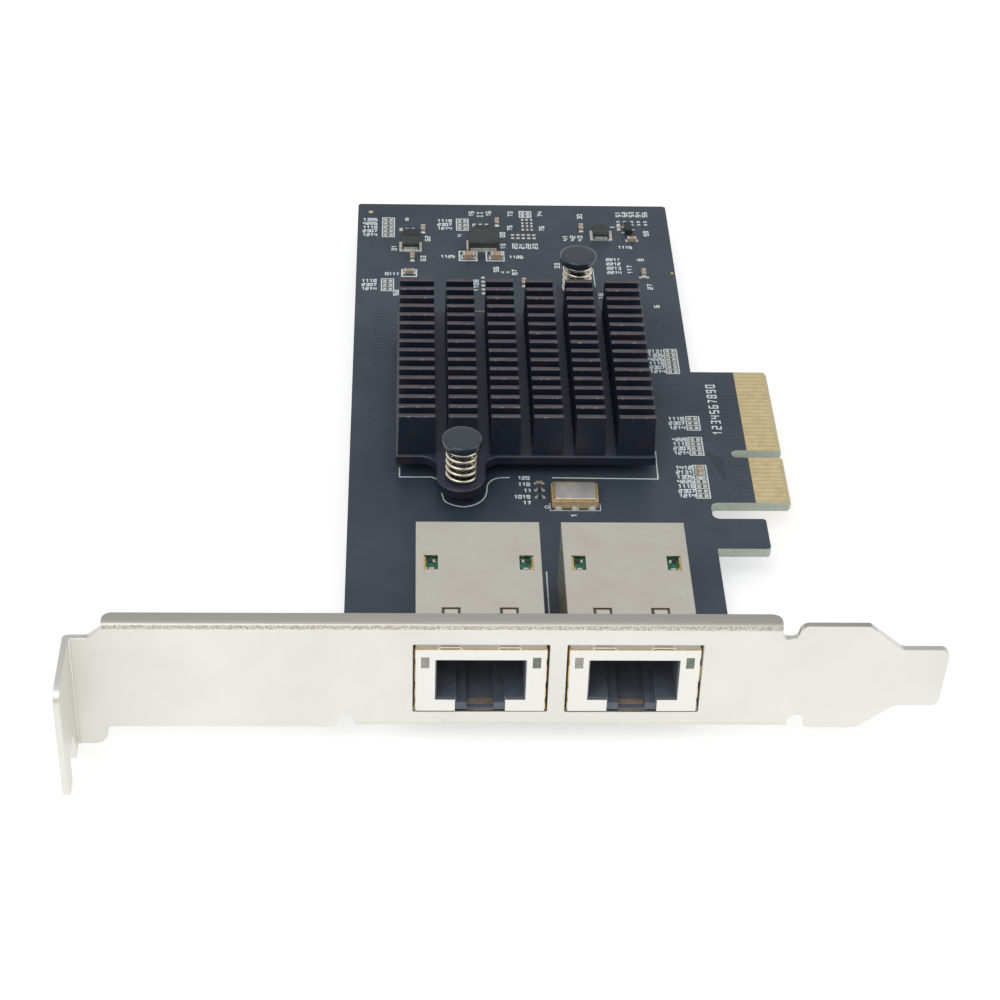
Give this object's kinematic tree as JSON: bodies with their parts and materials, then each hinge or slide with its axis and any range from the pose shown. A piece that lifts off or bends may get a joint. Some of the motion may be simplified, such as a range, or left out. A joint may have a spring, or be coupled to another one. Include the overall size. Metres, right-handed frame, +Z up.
{
  "type": "network interface card",
  "caption": "Network interface card on a folded steel bracket, with shielded copper ports, a pin-fin heatsink on spring push pins and a gold edge connector.",
  "frame": {"origin": "centre of the bounding box's bottom face, under the card as it lies with its components up", "axes": "+X runs along the bracket from the screw tab to the tongue, which is also the way the card goes into its slot; +Y runs from the bracket's outer face to the back edge of the board; +Z is up, away from the solder side"},
  "size_m": [0.12, 0.1474, 0.0216],
  "materials": {
    "solder_mask": "dark slate solder mask over glass laminate, satin",
    "gold_contact": "thin gold plating, satin",
    "bracket_steel": "nickel-plated steel sheet, satin",
    "screw_steel": "plated steel",
    "shield_metal": "plated copper-alloy sheet, satin",
    "insert_plastic": "dark slate moulded plastic",
    "contact_wire": "gold-plated spring wire",
    "link_light": "unlit milky grey light pipe",
    "activity_light": "unlit green light pipe",
    "magnetics_green": "green circuit laminate",
    "tinned_pin": "tinned metal",
    "heatsink_black": "black anodised aluminium with a faint purple cast",
    "package_green": "package laminate",
    "die_silicon": "polished die",
    "pad_grey": "soft thermal pad",
    "pin_plastic": "dark slate nylon, glossy",
    "spring_wire": "bright warm plated spring wire",
    "oscillator_ceramic": "ceramic base with a gold rim",
    "oscillator_metal": "flat metal lid",
    "inductor_ferrite": "moulded metal powder, matt grey",
    "terminal_tin": "tinned terminal",
    "chip_black": "moulded chip package",
    "capacitor_ceramic": "tan ceramic",
    "resistor_black": "dark coated ceramic"
  },
  "bodies": {
    "root": {"bracket": "bracket_steel", "bracket_screws": "screw_steel", "ceramic_capacitors": "capacitor_ceramic", "ceramic_capacitors_ends": "terminal_tin", "chip_leads": "terminal_tin", "chip_resistors": "resistor_black", "chip_resistors_ends": "terminal_tin", "circuit_board": "solder_mask", "controller_die": "die_silicon", "controller_substrate": "package_green", "edge_contacts_bottom": "gold_contact", "edge_contacts_top": "gold_contact", "heatsink": "heatsink_black", "inductor_left": "inductor_ferrite", "inductor_middle": "inductor_ferrite", "inductor_right": "inductor_ferrite", "inductor_terminals": "terminal_tin", "jack_left_activity_light": "activity_light", "jack_left_insert": "insert_plastic", "jack_left_link_light": "link_light", "jack_left_magnetics_board": "magnetics_green", "jack_left_pins": "tinned_pin", "jack_left_shield": "shield_metal", "jack_left_wires": "contact_wire", "jack_right_activity_light": "activity_light", "jack_right_insert": "insert_plastic", "jack_right_link_light": "link_light", "jack_right_magnetics_board": "magnetics_green", "jack_right_pins": "tinned_pin", "jack_right_shield": "shield_metal", "jack_right_wires": "contact_wire", "oscillator_base": "oscillator_ceramic", "oscillator_lid": "oscillator_metal", "push_pin_front": "pin_plastic", "push_pin_rear": "pin_plastic", "push_pin_spring_front": "spring_wire", "push_pin_spring_rear": "spring_wire", "regulator_left": "chip_black", "regulator_middle": "chip_black", "thermal_pad": "pad_grey", "transistor": "chip_black"}
  },
  "joints": []
}
